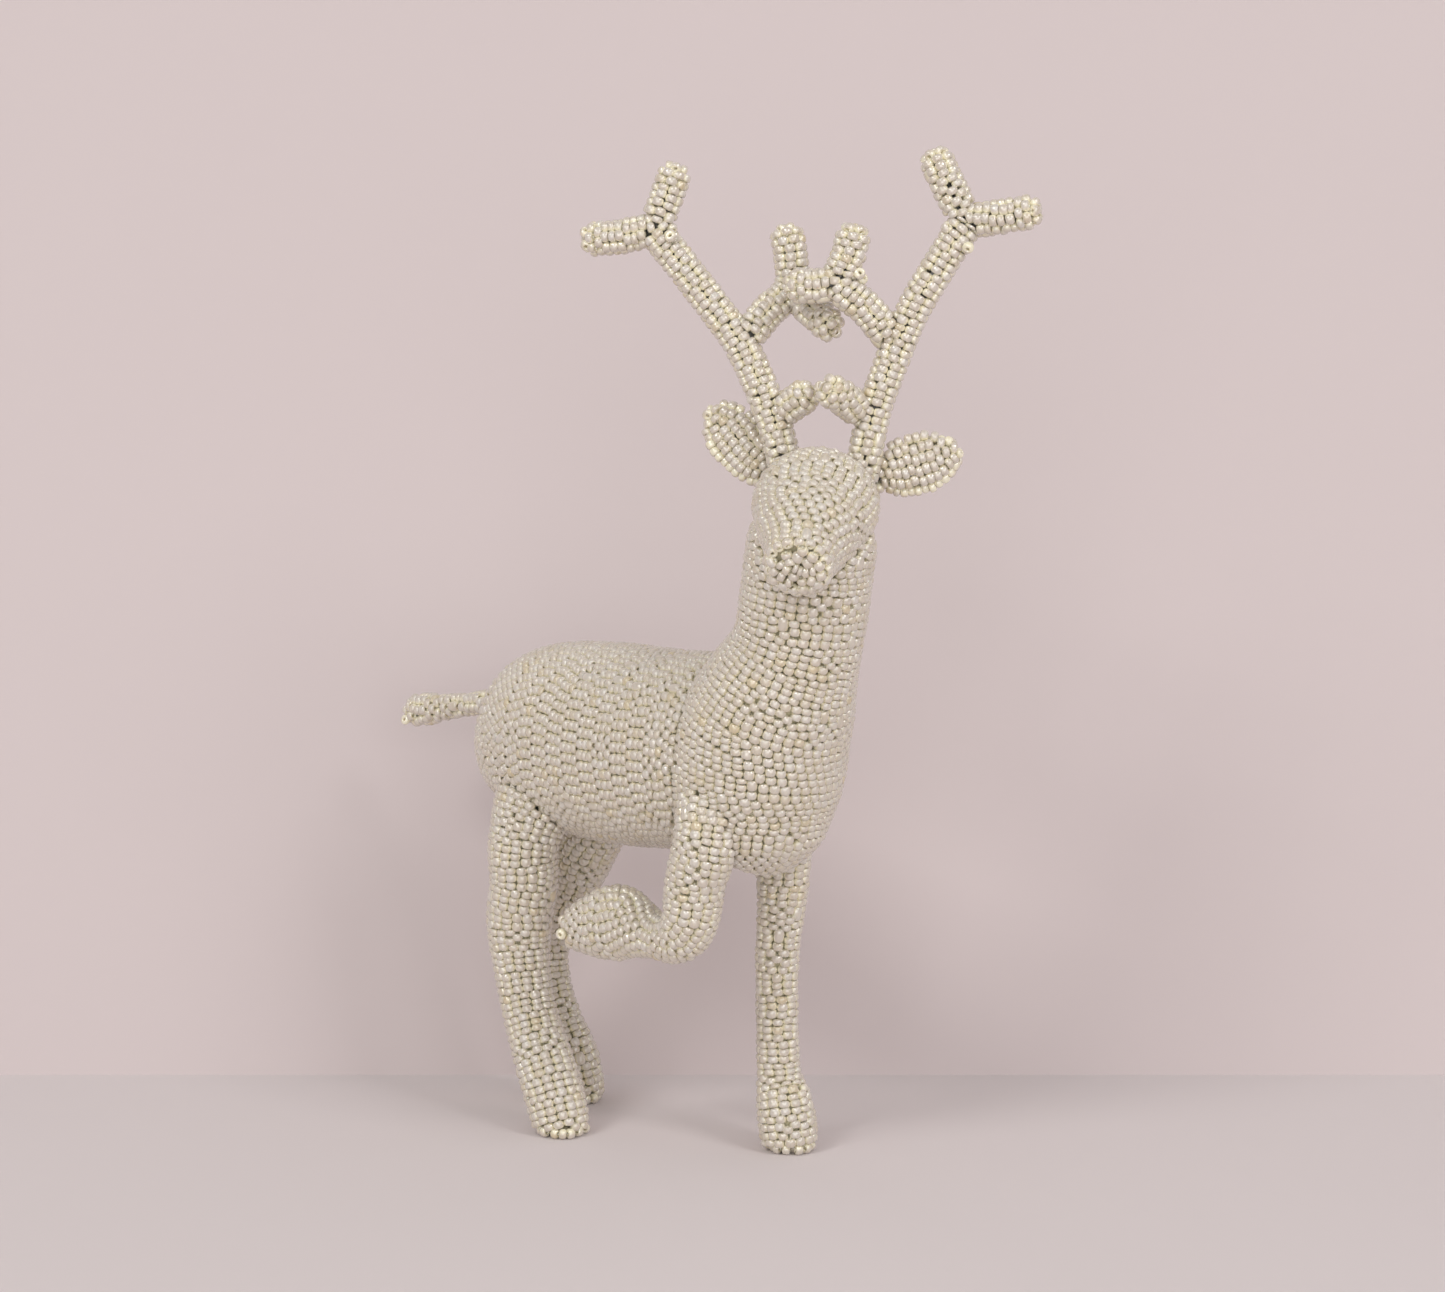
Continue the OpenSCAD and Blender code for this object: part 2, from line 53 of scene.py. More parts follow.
# One bead, which lies on its side on its thread.
BEAD_R = 1.05
BEAD_LENGTH = 1.46

# Beads in a lane, the distance between lanes, and the length a bead takes up in its lane.
LANE_BEADS = 3
COLUMN_PITCH = 2.11
ROW_PITCH = 1.5

# Lengths of beads, as shares of the usual one; now and then one long bead takes two places.
LENGTH_RANGE = (0.86, 1.14)
LONG_SHARE = 1.75
LONG_CHANCE = 0.04
LONGEST_BEAD = 2.8

# How much of its place in the lane a bead fills.
LANE_FILL = 0.98

# How unevenly lanes start along their threads; the antlers are sewn less evenly.
LANE_SHIFT = 0.12
ANTLER_LANE_SHIFT = 0.2

# Where the girth changes by more than this share over one lane, lanes are one bead long.
STEADY_CHANGE = 0.16

# Lanes stop this close to the end of a skin, and a full lane may run this far past it.
END_MARGIN = 0.3
END_OVERRUN = 0.6

# A bead's direction is taken from places this far on either side of it.
AXIS_REACH = 0.6
LEAST_AXIS = 0.2

# Beads as they are first laid are dropped when nearer than this, in one skin or across a seam.
LEAST_GAP = 1.02
SEAM_GAP = 1.3

# Fillers are offered this closely, and go in where they are this far from every bead.
FILL_STEP = 0.8
FILL_GAP = 1.22

# A bead is dropped when it is deeper than this in a skin that goes over its own, or under it.
OVERLAP_LOWER = -0.9
OVERLAP_UPPER = -1.75

# How far past its last ring a skin still holds beads.
END_HOLD = 0.6

# Rings of beads that close a sole: along the ring, from ring to ring, and the turn of each.
SOLE_PITCH = 2.08
SOLE_RING_PITCH = 1.9
SOLE_TURN = 0.3
SOLE_LEAST_RADIUS = 0.4

# Settling moves a bead no further than this from where it was laid.
MOST_DRIFT = 0.6

# Beads push each other to a little more than touching, which closes small cracks.
SPREAD = 1.04

# The longest push of one round, and the share of it that each bead takes.
LONGEST_PUSH = 0.5
PUSH_SHARE = 0.45

# Rounds of settling before and after the fillers go in.
FIRST_ROUNDS = 8
LAST_ROUNDS = 6

# Cubes that sort beads for a search of their neighbours.
SEARCH_CUBE = 2.5

CURVE_STEPS = 20
RING_STEPS = 72

UP_Z = np.array([0.0, 0.0, 1.0])
UP_Y = np.array([0.0, 1.0, 0.0])
UP_X = np.array([1.0, 0.0, 0.0])
ANTLER_UP = np.array([0.7, 0.7, 0.0])

# The side from which lanes are counted round a skin.
SHOW_SIDE = np.array([-0.7, -0.7, 0.1])

ANTLER_R = 3.4

# At a rounded free end the square of the radius falls by this share.
DOME_DEPTH = 0.8

# How far a crown tine's covering starts back along its beam.
FORK_LAP = 3.5

# How far from its first ring a skin's beads begin, and a tine's, whose root is in a tube.
SKIN_BEGIN = 0.1
TINE_BEGIN = 1.8

# Rows are x, y, z, half-width, half-height of a cross-section.
TORSO_ROWS = [
    [0, 49, 74.3, 2, 2],
    [0, 47, 74.4, 8.5, 9],
    [0, 41, 74.5, 14.5, 15],
    [0, 30, 76, 17.5, 18.7],
    [0, 14, 76, 18.5, 20],
    [0, -4, 76.5, 18, 19.5],
    [0, -17, 77, 16.5, 19.5],
    [0, -27, 77.5, 12.5, 16],
    [0, -31, 77.5, 8, 10],
]

CHEST_ROWS = [
    [0, -22, 57, 3, 4],
    [0, -22.5, 58.5, 9.5, 10.5],
    [0, -23, 63, 14, 14.8],
    [0, -23.8, 72, 16.8, 17],
    [0, -26.7, 82, 16.8, 16.8],
    [0, -31, 90.5, 15.2, 14.8],
    [0, -35.2, 99, 12.6, 12.4],
    [0, -37.2, 107, 12.5, 12.2],
    [0, -38.5, 115, 12.4, 12.2],
    [0, -39.7, 120.5, 12, 12],
    [1.2, -39.5, 125, 9.5, 9.5],
]

HEAD_ROWS = [
    [6.1, -36.5, 130.5, 3, 3],
    [5.2, -37.1, 129.9, 7, 7],
    [2.2, -39.1, 128.1, 11, 10],
    [-1.5, -41.5, 125.5, 12, 10.5],
    [-7.3, -45.3, 121.3, 9.5, 9.5],
    [-11.6, -48.1, 118.1, 7, 7.5],
    [-15.2, -50.5, 115.5, 6, 6],
    [-16, -51, 115, 2.5, 2.5],
]

LEFT_FORE_ROWS = [
    [9, -21.5, 69, 7, 8],
    [11.8, -20, 52, 5.2, 5.4],
    [11.5, -18.8, 35.5, 4.4, 4.4],
    [11.5, -19.2, 15, 4.4, 4.4],
    [11, -21.3, 8, 5.6, 5.6],
    [11, -22.7, 1, 5.7, 5.7],
    [11, -23.2, -3, 4, 4],
]

RIGHT_FORE_ROWS = [
    [-9.5, -23, 73, 7, 7.4],
    [-13.5, -25, 63, 6.4, 6.4],
    [-14, -22.6, 55, 5.9, 6],
    [-14, -21, 47, 5.5, 5.6],
    [-14, -17.5, 43.2, 5, 5.2],
    [-14, -11, 42.8, 4.6, 4.8],
    [-14, -2.5, 43.9, 7.4, 6.2],
    [-14, 4, 42.8, 6.8, 6.4],
    [-14, 10.5, 41.2, 4.6, 5.6],
]

RIGHT_HIND_ROWS = [
    [-7.5, 28.5, 69, 8, 10],
    [-12, 29.2, 56, 7.2, 7.3],
    [-12, 29.3, 48, 6.9, 7],
    [-12, 30.8, 39, 6.6, 6.7],
    [-12, 29.8, 29, 5.7, 5.8],
    [-12, 26.9, 19.4, 5.6, 5.7],
    [-12.3, 21.5, 9, 6.1, 6.1],
    [-12.4, 18, 1, 5.8, 5.8],
    [-12.5, 16.4, -3.2, 4, 4],
]

LEFT_HIND_ROWS = [
    [7, 30, 68, 8, 10],
    [8.5, 32, 56, 7, 7.5],
    [8, 38, 45, 6.4, 6.8],
    [7.2, 44.3, 34, 6, 6],
    [6.9, 44.8, 26, 5, 5.2],
    [7, 41.7, 16, 5.1, 5.3],
    [7.9, 38.3, 8, 5.9, 5.9],
    [8.5, 36.4, 1, 5.7, 5.7],
    [8.7, 35.7, -3, 4, 4],
]

TAIL_ROWS = [
    [0, 42, 83, 2.5, 2.5],
    [0, 52, 81, 2.5, 2.5],
    [0, 66, 78.4, 2.8, 2.8],
    [0, 75.6, 76.8, 3.6, 3.6],
    [0, 78.95, 76.4, 2.6, 2.6],
]

RIGHT_EAR_ROWS = [
    [5.5, -31.5, 126, 2.6, 2],
    [2.2, -27.8, 130, 3, 2.2],
    [0.6, -24.4, 133.5, 5.2, 2.6],
    [-1, -20.4, 137.7, 5.7, 2.6],
    [-2.4, -16.8, 141.6, 4.2, 2.4],
    [-3.1, -15, 143.2, 1.8, 1.6],
]

LEFT_EAR_ROWS = [
    [10, -41.3, 128.3, 2.6, 2],
    [12.6, -43.8, 130.5, 3, 2.2],
    [14.6, -45.9, 131.8, 5, 2.6],
    [18, -49.9, 133.6, 5.9, 2.6],
    [21.2, -53.4, 135, 4.6, 2.4],
    [22.9, -55.4, 135.8, 2, 1.6],
]

# The legs that stand on the floor.
STANDING = ("left_fore", "right_hind", "left_hind")

# Antler centre lines: their tubes are round and of one size.
RIGHT_ANTLER = {
    "beam": [
        [2, -34, 126.5], [1, -31.5, 132], [0.5, -28.5, 141.5],
        [-1.5, -22.5, 154.5], [-4.8, -16.2, 164], [-9.5, -7, 176.5],
    ],
    "crown_outer": [[-9.5, -7, 176.5], [-13.5, -1, 175.5], [-17.5, 5, 175]],
    "crown_upper": [[-9.5, -7, 176.5], [-7.5, -8.2, 183.5], [-5.8, -9.3, 189.3]],
    "inner_branch": [
        [-1.5, -22.5, 156], [3.5, -24, 161.5], [8.5, -25, 166], [9, -24.5, 172], [9, -23, 178],
    ],
    "inner_tine": [[8.5, -25, 166], [8.3, -31.5, 161.5], [7.5, -38, 158]],
    "brow_tine": [[1, -29, 142.5], [2.2, -33, 145], [3.2, -36.6, 147.4]],
}

LEFT_ANTLER = {
    "beam": [
        [7.5, -42, 126.5], [9, -43.5, 132.5], [11, -44.5, 143],
        [14, -46.5, 153], [17, -49.5, 163], [23.5, -56, 178],
    ],
    "crown_outer": [[23.5, -56, 178], [27, -61.5, 179.2], [31.2, -67.9, 180.4]],
    "crown_upper": [[23.5, -56, 178], [22, -53.1, 184.5], [21, -49.6, 191.7]],
    "inner_branch": [
        [14, -46.5, 156.5], [9.5, -43.5, 162.5], [6, -40.5, 167], [7.5, -41.5, 173], [8.5, -42, 178],
    ],
    "inner_tine": [[6, -40.5, 167], [3, -36.5, 166.5], [0, -32, 166.5]],
    "brow_tine": [[10, -43, 142.5], [5, -42.7, 145.6], [-0.6, -42, 148.4]],
}

rng = np.random.default_rng(11)


# ---- curves and skins ----


def smooth(rows, steps):
    """A smooth curve through the rows, with its place along them counted in rows."""
    rows = np.array(rows, float)
    count = len(rows)
    points = []
    places = []
    for i in range(count - 1):
        before = rows[max(i - 1, 0)]
        after = rows[min(i + 2, count - 1)]
        for k in range(steps):
            t = k / steps
            points.append(
                0.5
                * (
                    2 * rows[i]
                    + (rows[i + 1] - before) * t
                    + (2 * before - 5 * rows[i] + 4 * rows[i + 1] - after) * t * t
                    + (3 * rows[i] - before - 3 * rows[i + 1] + after) * t**3
                )
            )
            places.append(i + t)
    points.append(rows[-1])
    places.append(count - 1.0)
    return np.array(points), np.array(places)


def unit(vectors):
    """Vectors of length one."""
    return vectors / np.maximum(np.linalg.norm(vectors, axis=-1, keepdims=True), 1e-9)


class Skin:
    """A smooth closed tube through table rows, whose surface carries beads."""

    def __init__(
        self, name, rows, up, closed_start=True, closed_end=True, domed=False, begin=SKIN_BEGIN
    ):
        self.name = name
        self.begin = begin
        curve, self.places = smooth(rows, CURVE_STEPS)
        self.centre = curve[:, :3]
        self.half = curve[:, 3:]
        ahead = np.vstack([self.centre[1:], self.centre[-1:]])
        behind = np.vstack([self.centre[:1], self.centre[:-1]])
        self.along = unit(ahead - behind)
        self.side = unit(np.cross(self.along, up))
        self.rise = np.cross(self.side, self.along)
        if domed:
            from_tip = np.linalg.norm(self.centre - self.centre[-1], axis=1)
            dip = np.clip(1 - from_tip / self.half[-1].mean(), 0, 1)
            self.half = self.half * np.sqrt(1 - DOME_DEPTH * dip**3)[:, None]
        if closed_start:
            self.close_end(0)
        if closed_end:
            self.close_end(len(self.centre) - 1)
        self.build_grid()

    def close_end(self, end):
        """Adds shrinking rings that close one end of the tube with a flat disc."""
        shares = (0.02, 0.33, 0.66) if end == 0 else (0.66, 0.33, 0.02)
        spot = 0 if end == 0 else end + 1
        half = np.array([self.half[end] * share for share in shares])
        self.half = np.insert(self.half, [spot] * 3, half, axis=0)
        for part in ("centre", "along", "side", "rise", "places"):
            rows = getattr(self, part)
            setattr(self, part, np.insert(rows, [spot] * 3, rows[end], axis=0))

    def build_grid(self):
        """The grid of surface points, their outward normals, and bead centres under them."""
        angle = np.arange(RING_STEPS) * 2 * math.pi / RING_STEPS
        cos, sin = np.cos(angle), np.sin(angle)
        surface = (
            self.centre[:, None]
            + self.half[:, None, :1] * cos[None, :, None] * self.side[:, None]
            + self.half[:, None, 1:] * sin[None, :, None] * self.rise[:, None]
        )
        around = np.roll(surface, -1, axis=1) - np.roll(surface, 1, axis=1)
        along = np.gradient(surface, axis=0)
        normal = unit(np.cross(along, around))
        middle = len(surface) // 2
        facing = ((surface[middle] - self.centre[middle]) * normal[middle]).sum()
        self.normal = normal * np.sign(facing)
        self.bed = surface - self.normal * BEAD_R
        steps = np.linalg.norm(np.diff(self.bed, axis=0), axis=-1).mean(axis=1)
        self.reach = np.concatenate([[0], np.cumsum(steps)])
        chords = np.linalg.norm(np.roll(self.bed, -1, axis=1) - self.bed, axis=-1)
        self.arc = np.concatenate(
            [np.zeros((len(chords), 1)), np.cumsum(chords, axis=1)], axis=1
        )
        show_angle = np.arctan2(self.rise @ SHOW_SIDE, self.side @ SHOW_SIDE)
        self.show_share = np.array(
            [
                np.interp(a % (2 * math.pi), np.append(angle, 2 * math.pi), arc) / max(arc[-1], 1e-6)
                for a, arc in zip(show_angle, self.arc)
            ]
        )

    def row_at(self, reach):
        """The fractional grid row at a distance along the skin."""
        return np.interp(reach, self.reach, np.arange(len(self.reach)))

    def girth(self, reach):
        """The distance round the bead centres."""
        return np.interp(reach, self.reach, self.arc[:, -1])

    def site(self, reach, share):
        """Bead centre, outward normal and table place at one distance and share of the girth."""
        row = self.row_at(reach)
        low = min(int(row), len(self.reach) - 2)
        part = row - low
        centres = []
        normals = []
        for r in (low, low + 1):
            arc = self.arc[r]
            turn = ((share + self.show_share[r]) % 1.0) * arc[-1]
            column = np.interp(turn, arc, np.arange(len(arc)))
            first = int(column) % RING_STEPS
            second = (first + 1) % RING_STEPS
            over = column - int(column)
            centres.append(self.bed[r, first] * (1 - over) + self.bed[r, second] * over)
            normals.append(self.normal[r, first] * (1 - over) + self.normal[r, second] * over)
        centre = centres[0] * (1 - part) + centres[1] * part
        normal = unit(normals[0] * (1 - part) + normals[1] * part)
        place = self.places[low] * (1 - part) + self.places[low + 1] * part
        return centre, normal, place

    def folded(self, reach, centre, normal):
        """Whether the skin is turned inside out here, as on the inner side of a tight bend."""
        hub = self.centre[int(round(float(self.row_at(reach))))]
        return (centre - hub) @ normal < -BEAD_R - END_MARGIN

    def holds(self, points, grow):
        """Which points lie inside the skin grown by so many millimetres."""
        gap = points[:, None] - self.centre[None]
        nearest = (gap**2).sum(-1).argmin(axis=1)
        pick = np.arange(len(points))
        gap = gap[pick, nearest]
        half = np.maximum(self.half[nearest] + grow, 0.05)
        across = (gap * self.side[nearest]).sum(-1) / half[:, 0]
        upward = (gap * self.rise[nearest]).sum(-1) / half[:, 1]
        past = np.abs((gap * self.along[nearest]).sum(-1))
        return (across**2 + upward**2 < 1) & (past < max(grow, 0) + END_HOLD)


# ---- laying beads ----


def lane_lengths(room):
    """Lengths of the beads that fill a lane: mostly alike, now and then one long bead."""
    count = max(1, round(room / ROW_PITCH))
    lengths = rng.uniform(*LENGTH_RANGE, count)
    if count > 2 and rng.random() < LONG_CHANCE:
        lengths = np.append(lengths[2:], LONG_SHARE)
        rng.shuffle(lengths)
    return lengths * room / lengths.sum()


def add_bead(found, skin, reach, share, length):
    """Adds one bead: its skin, table place, centre, outward normal, axis and length."""
    centre, normal, place = skin.site(reach, share)
    if skin.folded(reach, centre, normal):
        return
    before, _, _ = skin.site(max(reach - AXIS_REACH, 0), share)
    after, _, _ = skin.site(min(reach + AXIS_REACH, skin.reach[-1]), share)
    axis = after - before
    axis = axis - normal * (axis @ normal)
    if np.linalg.norm(axis) < LEAST_AXIS:
        axis = np.cross(normal, UP_Z + 0.3 * UP_X)
    found.append((skin.name, place, centre, normal, unit(axis), length))


def lane_room(skin, start, end, share):
    """The true length of a lane along the skin."""
    spots = np.array([skin.site(r, share)[0] for r in np.linspace(start, end, 4)])
    return np.linalg.norm(np.diff(spots, axis=0), axis=1).sum()


def lay_lanes(skin):
    """Beads in bands of short lanes; each band steps half a bead round from the last."""
    found = []
    end = skin.reach[-1]
    reach = skin.begin
    band = 0
    loose = ANTLER_LANE_SHIFT if "antler" in skin.name else LANE_SHIFT
    while reach < end - END_MARGIN:
        near = skin.girth(reach)
        far = skin.girth(min(reach + LANE_BEADS * ROW_PITCH, end))
        steady = abs(far - near) < STEADY_CHANGE * max(near, far)
        fits = reach + LANE_BEADS * ROW_PITCH < end + END_OVERRUN
        width = (LANE_BEADS if steady and fits else 1) * ROW_PITCH
        stop = min(reach + width, end)
        columns = max(1, round(skin.girth((reach + stop) / 2) / COLUMN_PITCH))
        for k in range(columns):
            share = (k + 0.5 * (band % 2) + rng.uniform(-0.05, 0.05)) / columns
            room = max(lane_room(skin, reach, stop, share), 0.5)
            lengths = lane_lengths(room)
            shift = rng.uniform(-loose, loose)
            middles = np.cumsum(lengths) - lengths / 2
            for middle, length in zip(middles, lengths):
                spot = min(max(reach + shift + (stop - reach) * middle / room, 0.01), end)
                add_bead(found, skin, spot, share, min(length, LONGEST_BEAD) * LANE_FILL)
        reach += width
        band += 1
    return found


def fill_sites(skin):
    """Closely spaced places on a skin, offered where lanes leave a gap."""
    found = []
    for reach in np.arange(skin.begin + 0.2, skin.reach[-1], FILL_STEP):
        columns = max(1, int(skin.girth(reach) / FILL_STEP))
        for k in range(columns):
            add_bead(found, skin, reach, k / columns, BEAD_LENGTH)
    order = rng.permutation(len(found))
    return [found[i] for i in order]


def apart_enough(others, spot, least):
    """Whether a spot is at least so far from all others."""
    return all((p - spot) @ (p - spot) >= least * least for p in others)


class Grid:
    """Bead centres sorted into cubes, to find near neighbours quickly."""

    def __init__(self):
        self.cells = {}

    def key(self, spot):
        """The cube that a spot is in."""
        return tuple(np.floor(spot / SEARCH_CUBE).astype(int))

    def near(self, spot):
        """The centres in a spot's cube and in the cubes round it."""
        x, y, z = self.key(spot)
        for i in (x - 1, x, x + 1):
            for j in (y - 1, y, y + 1):
                for k in (z - 1, z, z + 1):
                    yield from self.cells.get((i, j, k), ())

    def add(self, spot):
        self.cells.setdefault(self.key(spot), []).append(spot)


def keep_outside(beads, skin, skins):
    """Drops beads that lie inside a neighbouring skin; earlier skins go over later ones."""
    if not beads:
        return beads
    spots = np.array([b[2] for b in beads])
    keep = spots[:, 2] > FLOOR_LEVEL + BEAD_R * 0.96
    mine = skins.index(skin)
    for i, other in enumerate(skins):
        if other is skin:
            continue
        reach = other.half.max() + 4
        low = other.centre.min(axis=0) - reach
        high = other.centre.max(axis=0) + reach
        close = keep & (spots > low).all(axis=1) & (spots < high).all(axis=1)
        if not close.any():
            continue
        grow = OVERLAP_LOWER if i < mine else OVERLAP_UPPER
        inside = other.holds(spots[close], grow)
        keep[np.where(close)[0][inside]] = False
    return [b for b, k in zip(beads, keep) if k]


def weave(skins):
    """The lanes of every skin, thinned where two skins meet."""
    grid = Grid()
    laid = []
    for skin in skins:
        own = Grid()
        for bead in keep_outside(sole_beads(skin) + lay_lanes(skin), skin, skins):
            clear = apart_enough(grid.near(bead[2]), bead[2], SEAM_GAP)
            if clear and apart_enough(own.near(bead[2]), bead[2], LEAST_GAP):
                own.add(bead[2])
                laid.append(bead)
        for spots in own.cells.values():
            for spot in spots:
                grid.add(spot)
    return laid


def lay_all(skins):
    """All beads of the figure: the lanes, then fillers wherever a gap is left."""
    laid = settle(weave(skins), FIRST_ROUNDS)
    grid = Grid()
    for bead in laid:
        grid.add(bead[2])
    for skin in skins:
        for bead in keep_outside(fill_sites(skin), skin, skins):
            if apart_enough(grid.near(bead[2]), bead[2], FILL_GAP):
                grid.add(bead[2])
                laid.append(bead)
    return settle(laid, LAST_ROUNDS)


def sole_beads(skin):
    """The flat cluster of beads that closes a standing hoof against the floor."""
    if skin.name not in STANDING:
        return []
    level = skin.centre[:, 2]
    row = int(np.abs(level - FLOOR_LEVEL - BEAD_R).argmin())
    middle = skin.centre[row].copy()
    middle[2] = FLOOR_LEVEL + BEAD_R
    found = []
    radius = skin.half[row].mean() - BEAD_R
    while radius > SOLE_LEAST_RADIUS:
        count = max(3, int(2 * math.pi * radius / SOLE_PITCH))
        for k in range(count):
            turn = 2 * math.pi * (k + SOLE_TURN * radius) / count
            out = np.array([math.cos(turn), math.sin(turn), 0])
            axis = np.array([-math.sin(turn), math.cos(turn), 0])
            spot = middle + out * radius
            found.append((skin.name, skin.places[row], spot, unit(out - UP_Z), axis, BEAD_LENGTH))
        radius -= SOLE_RING_PITCH
    return found


def close_pairs(spots):
    """Every pair of beads near enough to touch, as two lists of places in the list."""
    tree = KDTree(len(spots))
    for i, p in enumerate(spots):
        tree.insert(p, i)
    tree.balance()
    first = []
    second = []
    for i, p in enumerate(spots):
        for _, j, _ in tree.find_range(p, 2 * BEAD_R):
            if j > i:
                first.append(i)
                second.append(j)
    return np.array(first), np.array(second)


def settle(laid, rounds):
    """Pushes overlapping beads apart along the skin, as tight threads leave them."""
    spots = np.array([b[2] for b in laid])
    normals = np.array([b[3] for b in laid])
    axes = np.array([b[4] for b in laid])
    lengths = np.array([b[5] for b in laid])
    start = spots.copy()
    for _ in range(rounds):
        first, second = close_pairs(spots)
        gap = spots[second] - spots[first]
        size = np.linalg.norm(gap, axis=1)
        way = gap / np.maximum(size, 1e-6)[:, None]
        need = half_size(way, axes[first], lengths[first])
        need = need + half_size(way, axes[second], lengths[second])
        short = np.clip(need * SPREAD - size, 0, LONGEST_PUSH)
        push = way * (short * PUSH_SHARE)[:, None]
        move = np.zeros_like(spots)
        np.add.at(move, second, push)
        np.add.at(move, first, -push)
        move -= normals * (move * normals).sum(axis=1)[:, None]
        drift = spots + move - start
        size = np.linalg.norm(drift, axis=1)[:, None]
        spots = start + drift * np.minimum(1, MOST_DRIFT / np.maximum(size, 1e-6))
        spots[:, 2] = np.maximum(spots[:, 2], FLOOR_LEVEL + BEAD_R)
    return [(*b[:2], spot, *b[3:]) for b, spot in zip(laid, spots)]


def half_size(way, axes, lengths):
    """How far a bead reaches from its centre in a direction."""
    along = np.abs((way * axes).sum(axis=1))
    return np.sqrt((BEAD_R**2) * (1 - along**2) + (lengths / 2) ** 2 * along**2)


# ---- bead meshes ----

# Flats round a bead.
SIDES = 12

# Half-outline of a bead as radius and height, as shares of its radius and half-length.
OUTLINE = [
    (0.32, 0.86), (0.56, 1.0), (0.86, 0.82), (1.0, 0.34),
    (1.0, -0.34), (0.86, -0.82), (0.56, -1.0), (0.32, -0.86),
]


# How far beads tip into the skin and any other way, and how much wedge-shaped they are.
TIP_INWARD = 0.07
TIP_ANY_WAY = 0.05
WEDGE = 0.07

# A bead's radius and half-length as shares of the usual: mean, spread, least and most.
RADIUS_MEAN = 1.035
RADIUS_SPREAD = 0.03
RADIUS_RANGE = (0.94, 1.1)
HALF_LENGTH_RANGE = (1.0, 1.08)


def bead_template():
    """Unit bead corners (axis on z) and its faces."""
    corners = []
    for radius, height in OUTLINE:
        for k in range(SIDES):
            turn = 2 * math.pi * k / SIDES
            corners.append((radius * math.cos(turn), radius * math.sin(turn), height))
    faces = []
    rings = len(OUTLINE)
    for i in range(rings):
        for k in range(SIDES):
            a = i * SIDES + k
            b = i * SIDES + (k + 1) % SIDES
            c = ((i + 1) % rings) * SIDES + (k + 1) % SIDES
            d = ((i + 1) % rings) * SIDES + k
            faces.append((a, d, c, b))
    return np.array(corners), np.array(faces)


TEMPLATE_CORNERS, TEMPLATE_FACES = bead_template()


def bead_mesh(name, spots, normals, axes, lengths):
    """One mesh of many beads, with a tint for each bead and how far each corner faces out, which sets
    the painted glow in the gaps.
    """
    count = len(spots)
    inward = normals * rng.normal(0, TIP_INWARD, (count, 1))
    axes = unit(axes + inward + rng.normal(0, TIP_ANY_WAY, (count, 3)))
    turn = rng.uniform(0, 2 * math.pi, (count, 1))
    across = unit(np.cross(axes, normals))
    other = np.cross(axes, across)
    first = across * np.cos(turn) + other * np.sin(turn)
    second = np.cross(axes, first)
    radius = BEAD_R * np.clip(rng.normal(RADIUS_MEAN, RADIUS_SPREAD, count), *RADIUS_RANGE)
    half_length = lengths / 2 * rng.uniform(*HALF_LENGTH_RANGE, count)
    wedge = rng.normal(0, WEDGE, (count, 1))
    local = TEMPLATE_CORNERS
    reach = local[None, :, 2] * (1 + wedge * local[None, :, 0])
    offset = (
        first[:, None] * (local[None, :, :1] * radius[:, None, None])
        + second[:, None] * (local[None, :, 1:2] * radius[:, None, None])
        + axes[:, None] * (reach * half_length[:, None])[:, :, None]
    )
    corners = spots[:, None] + offset
    # How far each corner faces out, used to paint a glow on the bead sides that turn into the gaps.
    facing = (offset * normals[:, None]).sum(-1) / BEAD_R
    tint = rng.random(count)
    starts = np.arange(count)[:, None, None] * len(local)
    faces = (TEMPLATE_FACES[None] + starts).reshape(-1, 4)
    mesh = bpy.data.meshes.new(name)
    mesh.vertices.add(count * len(local))
    mesh.vertices.foreach_set("co", ((corners + TO_ORIGIN) * METRES).astype(np.float32).ravel())
    mesh.loops.add(faces.size)
    mesh.loops.foreach_set("vertex_index", faces.astype(np.int32).ravel())
    mesh.polygons.add(len(faces))
    mesh.polygons.foreach_set("loop_start", np.arange(0, faces.size, 4, dtype=np.int32))
    mesh.update(calc_edges=True)
    mesh.polygons.foreach_set("use_smooth", np.ones(len(faces), bool))
    store(mesh, "bead_tint", np.repeat(tint, len(local)))
    store(mesh, "bead_facing", facing.ravel())
    return mesh


def store(mesh, name, values):
    """Keeps one value for each corner of a mesh, for its material."""
    layer = mesh.attributes.new(name, "FLOAT", "POINT")
    layer.data.foreach_set("value", np.asarray(values, np.float32))


# ---- materials ----


def new_material(name):
    """A node material with its tree and its main shader."""
    material = bpy.data.materials.new(name)
    material.use_nodes = True
    tree = material.node_tree
    shader = tree.nodes["Principled BSDF"]
    return material, tree, shader


def ramp(tree, source, stops):
    """Colours spread along a value, from stops of place and colour."""
    node = tree.nodes.new("ShaderNodeValToRGB")
    elements = node.color_ramp.elements
    while len(elements) < len(stops):
        elements.new(0.5)
    for element, (position, colour) in zip(elements, stops):
        element.position = position
        element.color = (*colour, 1)
    tree.links.new(source, node.inputs["Fac"])
    return node.outputs["Color"]


def attribute(tree, name):
    """A value stored on the mesh."""
    node = tree.nodes.new("ShaderNodeAttribute")
    node.attribute_name = name
    return node.outputs["Fac"]


def noise(tree, scale, detail=2.0):
    """Cloudy noise fixed to the object."""
    place = tree.nodes.new("ShaderNodeTexCoord")
    node = tree.nodes.new("ShaderNodeTexNoise")
    node.inputs["Scale"].default_value = scale
    node.inputs["Detail"].default_value = detail
    tree.links.new(place.outputs["Object"], node.inputs["Vector"])
    return node.outputs["Fac"]


